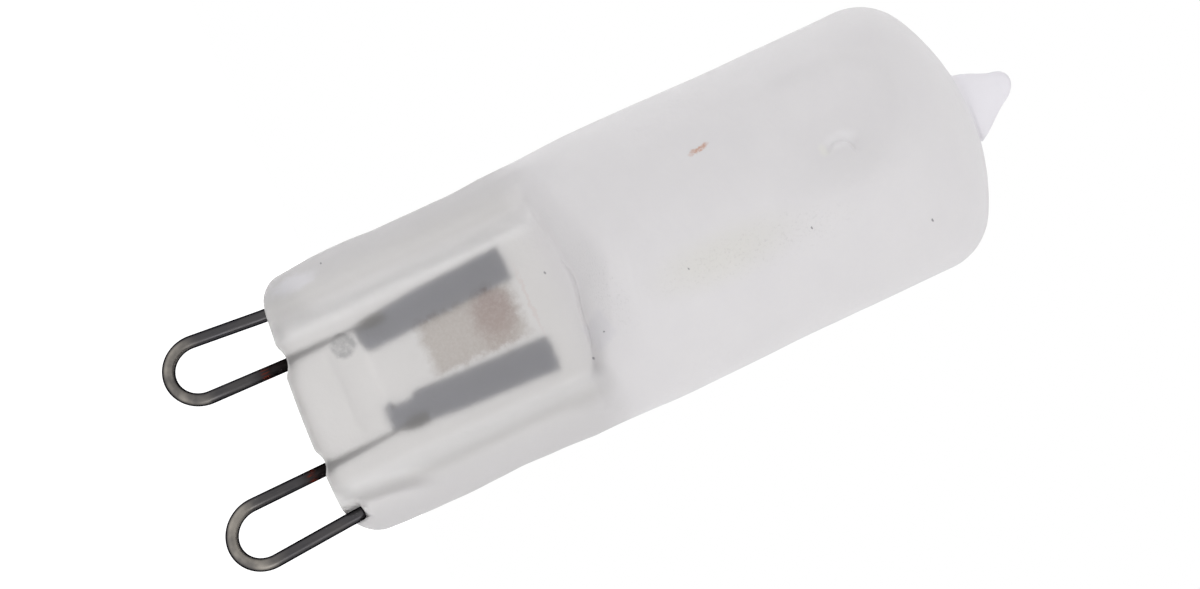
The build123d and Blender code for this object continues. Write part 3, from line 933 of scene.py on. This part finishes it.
# %% World, floor and lamps
WORLD_LIGHT, PAPER_GLOW = 0.905, 0.45
world = bpy.data.worlds.new("white_tent")
bpy.context.scene.world = world
world.use_nodes = True
tree = world.node_tree
tree.nodes.clear()
rays = add_node(tree, "ShaderNodeLightPath")
seen = add_node(tree, "ShaderNodeMath", {"operation": "MAXIMUM"}, _0=rays.outputs["Is Camera Ray"],
                _1=rays.outputs["Is Glossy Ray"])
seen = add_node(tree, "ShaderNodeMath", {"operation": "MAXIMUM"}, _0=seen.outputs[0],
                _1=rays.outputs["Is Transmission Ray"])
strength = add_node(tree, "ShaderNodeMapRange", Value=seen.outputs[0], To_Min=WORLD_LIGHT,
                    To_Max=1.0)
light = add_node(tree, "ShaderNodeBackground", Color=(1, 1, 1, 1),
                 Strength=strength.outputs["Result"])
add_node(tree, "ShaderNodeOutputWorld", Surface=light.outputs["Background"])

FLOOR_Z, FLOOR_SIZE, BULB_MIDDLE = -150.0, 4000.0, 16
floor_mesh = bmesh.new()
bmesh.ops.create_grid(floor_mesh, x_segments=8, y_segments=8, size=FLOOR_SIZE / 2 * MM)
bmesh.ops.translate(floor_mesh, verts=list(floor_mesh.verts), vec=(0, 0, FLOOR_Z * MM))
floor_data = bpy.data.meshes.new("floor")
floor_mesh.to_mesh(floor_data)
floor_mesh.free()
floor = bpy.data.objects.new("floor", floor_data)
bpy.context.scene.collection.objects.link(floor)
paper = bpy.data.materials.new("white_paper_floor")
paper.use_nodes = True
tree = paper.node_tree
tree.nodes.clear()
matt = add_node(tree, "ShaderNodeBsdfDiffuse", Color=linear("#F4F4F4"))
rays = add_node(tree, "ShaderNodeLightPath")
seen = add_node(tree, "ShaderNodeMath", {"operation": "SUBTRACT"}, _0=1.0,
                _1=rays.outputs["Is Diffuse Ray"])
glow = add_node(tree, "ShaderNodeEmission", Color=(1, 1, 1, 1),
                Strength=product(tree, seen.outputs[0], PAPER_GLOW))
both = add_node(tree, "ShaderNodeAddShader", _0=matt.outputs["BSDF"],
                _1=glow.outputs["Emission"])
add_node(tree, "ShaderNodeOutputMaterial", Surface=both.outputs["Shader"])
floor_data.materials.append(paper)


def soft_lamp(name, place, size, power):
    """A square lamp of a size in millimetres and a power in watts, aimed at the bulb's middle."""
    data = bpy.data.lights.new(name, "AREA")
    data.size = size * MM
    data.energy = power
    lamp = bpy.data.objects.new(name, data)
    lamp.location = Vector(place) * MM
    aimed = Vector((0, 0, BULB_MIDDLE)) * MM - lamp.location
    lamp.rotation_euler = aimed.to_track_quat("-Z", "Y").to_euler()
    bpy.context.scene.collection.objects.link(lamp)


soft_lamp("key", (265, -195, -60), 130, 0.155)
soft_lamp("rim", (-290, 95, 60), 180, 0.085)
soft_lamp("top", (-60, -40, 330), 180, 0.03)
print("lamps:", len(bpy.data.lights), "floor at", FLOOR_Z, "mm")

# %% [markdown]
# The camera stands where the photographer stood: level with the bulb, a little to its right, and
# turned so that the bulb lies across the picture with its tip up on the right.

# %% Camera
AZIMUTH, ROLL = math.radians(8), math.radians(25)
PICTURE_WIDTH, LENS, SENSOR = 61.86, 100.0, 36.0
AIM_X, AIM_Z = 0.82, 16.41
across = Vector((math.cos(AZIMUTH), math.sin(AZIMUTH), 0))
back = Vector((math.sin(AZIMUTH), -math.cos(AZIMUTH), 0))
right = math.cos(ROLL) * Vector((0, 0, 1)) + math.sin(ROLL) * across
up = math.sin(ROLL) * Vector((0, 0, 1)) - math.cos(ROLL) * across
camera_data = bpy.data.cameras.new("camera")
camera_data.lens, camera_data.sensor_width = LENS, SENSOR
camera_data.clip_start, camera_data.clip_end = 0.01, 20
camera = bpy.data.objects.new("camera", camera_data)
bpy.context.scene.collection.objects.link(camera)
distance = PICTURE_WIDTH * LENS / SENSOR
aim = across * AIM_X + Vector((0, 0, AIM_Z))
turn = Matrix((right, up, back)).transposed().to_4x4()
camera.matrix_world = Matrix.Translation((aim + back * distance) * MM) @ turn
bpy.context.scene.camera = camera
bpy.context.scene.view_settings.view_transform = "Standard"
print("camera at", [round(v / MM, 1) for v in camera.location])
